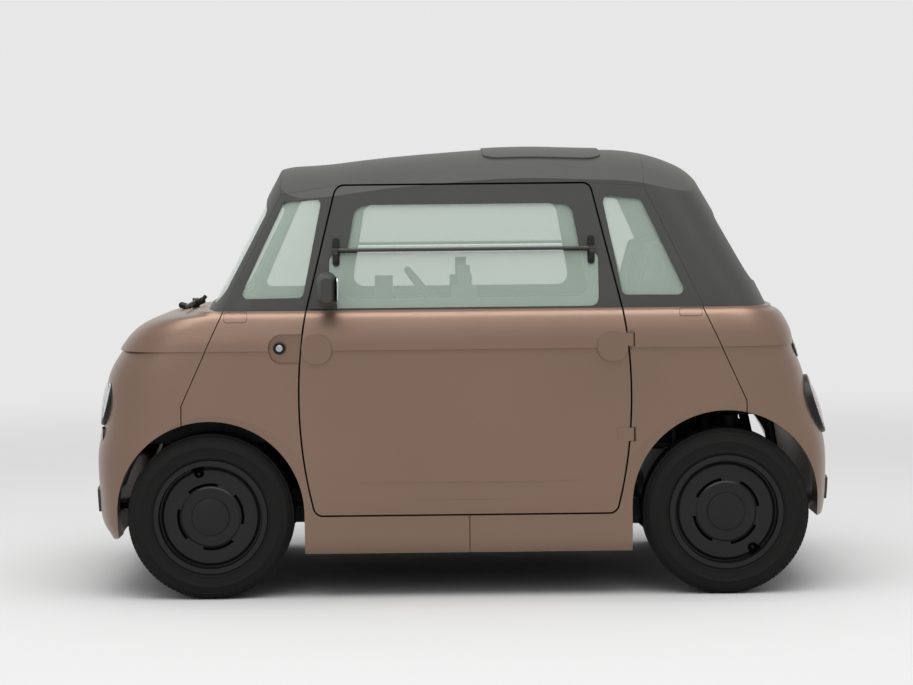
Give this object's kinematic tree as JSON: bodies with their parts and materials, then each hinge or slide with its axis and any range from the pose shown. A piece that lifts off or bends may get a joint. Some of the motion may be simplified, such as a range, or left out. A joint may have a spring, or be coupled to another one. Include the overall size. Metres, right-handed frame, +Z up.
{
  "type": "microcar",
  "caption": "Small electric city car with a matte bronze body, dark grey roof, hinged doors, turning road wheels and a steering wheel.",
  "frame": {"origin": "On the ground under the middle of the overall length and width", "axes": "+Z up, -X forwards, -Y to the driver's side"},
  "size_m": [2.5272, 1.644, 1.5173],
  "materials": {
    "body_paint": "matte_metallic",
    "black_trim": "satin",
    "window_glass": "tinted",
    "tyre_rubber": "matte",
    "wheel_black": "satin",
    "lamp_clear": "clear",
    "lamp_red": "gloss",
    "frame_steel": "matte",
    "steel": "satin",
    "rubber": "matte",
    "interior_plastic": "matte",
    "aluminium": "cast",
    "seat_fabric": "woven"
  },
  "bodies": {
    "chassis": {"front_panel": "body_paint", "rear_panel": "body_paint", "side_panel_front_left": "body_paint", "side_panel_rear_left": "body_paint", "side_panel_front_right": "body_paint", "side_panel_rear_right": "body_paint", "roof_panel": "black_trim", "windscreen_frame": "black_trim", "windscreen": "window_glass", "quarter_frames": "black_trim", "quarter_glass": "window_glass", "rear_frame": "black_trim", "rear_window": "window_glass", "door_hinges": "steel", "front_lamps": "lamp_clear", "tail_lamps": "lamp_red", "bumper_pads": "rubber", "wiper": "black_trim", "space_frame": "frame_steel", "floor_tub": "interior_plastic", "motor_unit": "aluminium", "battery_case": "frame_steel", "front_suspension": "frame_steel", "rear_suspension": "frame_steel", "dashboard": "interior_plastic", "seats": "seat_fabric", "seat_plinths": "interior_plastic", "tow_eyes": "frame_steel", "door_seals": "rubber", "wheel_liners": "interior_plastic"},
    "steering_wheel": {"steering_wheel": "interior_plastic"},
    "knuckle_left": {"knuckle_left": "frame_steel"},
    "knuckle_right": {"knuckle_right": "frame_steel"},
    "door_left": {"door_left_panel": "body_paint", "door_left_frame": "black_trim", "door_left_glass": "window_glass", "door_left_bar": "black_trim", "door_left_mirror": "black_trim"},
    "door_right": {"door_right_panel": "body_paint", "door_right_frame": "black_trim", "door_right_glass": "window_glass", "door_right_bar": "black_trim", "door_right_mirror": "black_trim"},
    "wheel_front_left": {"tyre_front_left": "tyre_rubber", "rim_front_left": "wheel_black"},
    "wheel_front_right": {"tyre_front_right": "tyre_rubber", "rim_front_right": "wheel_black"},
    "wheel_rear_left": {"tyre_rear_left": "tyre_rubber", "rim_rear_left": "wheel_black"},
    "wheel_rear_right": {"tyre_rear_right": "tyre_rubber", "rim_rear_right": "wheel_black"}
  },
  "joints": [
    {"name": "door_left", "type": "hinge", "parent": "chassis", "child": "door_left", "pos_m": [0.561, -0.688, 0.69], "axis": [0, 0, 1], "range_deg": [0, 70]},
    {"name": "door_right", "type": "hinge", "parent": "chassis", "child": "door_right", "pos_m": [-0.553, 0.688, 0.69], "axis": [0, 0, 1], "range_deg": [0, 70]},
    {"name": "steer_left", "type": "hinge", "parent": "chassis", "child": "knuckle_left", "pos_m": [-0.8525, -0.562, 0.2785], "axis": [0, 0, 1], "range_deg": [-32, 32]},
    {"name": "steer_right", "type": "hinge", "parent": "chassis", "child": "knuckle_right", "pos_m": [-0.8525, 0.562, 0.2785], "axis": [0, 0, 1], "range_deg": [-32, 32]},
    {"name": "steering_wheel", "type": "hinge", "parent": "chassis", "child": "steering_wheel", "pos_m": [-0.09, -0.33, 0.965], "axis": [0.788, 0, 0.6157], "range_deg": [-480, 480]},
    {"name": "wheel_front_left", "type": "hinge", "parent": "knuckle_left", "child": "wheel_front_left", "pos_m": [-0.8525, -0.594, 0.2785], "axis": [0, 1, 0], "continuous": true},
    {"name": "wheel_front_right", "type": "hinge", "parent": "knuckle_right", "child": "wheel_front_right", "pos_m": [-0.8525, 0.594, 0.2785], "axis": [0, 1, 0], "continuous": true},
    {"name": "wheel_rear_left", "type": "hinge", "parent": "chassis", "child": "wheel_rear_left", "pos_m": [0.8755, -0.594, 0.2785], "axis": [0, 1, 0], "continuous": true},
    {"name": "wheel_rear_right", "type": "hinge", "parent": "chassis", "child": "wheel_rear_right", "pos_m": [0.8755, 0.594, 0.2785], "axis": [0, 1, 0], "continuous": true}
  ],
  "couplings": [
    {"joint": "steer_right", "follows": "steer_left", "ratio": 1},
    {"joint": "steering_wheel", "follows": "steer_left", "ratio": 15}
  ]
}
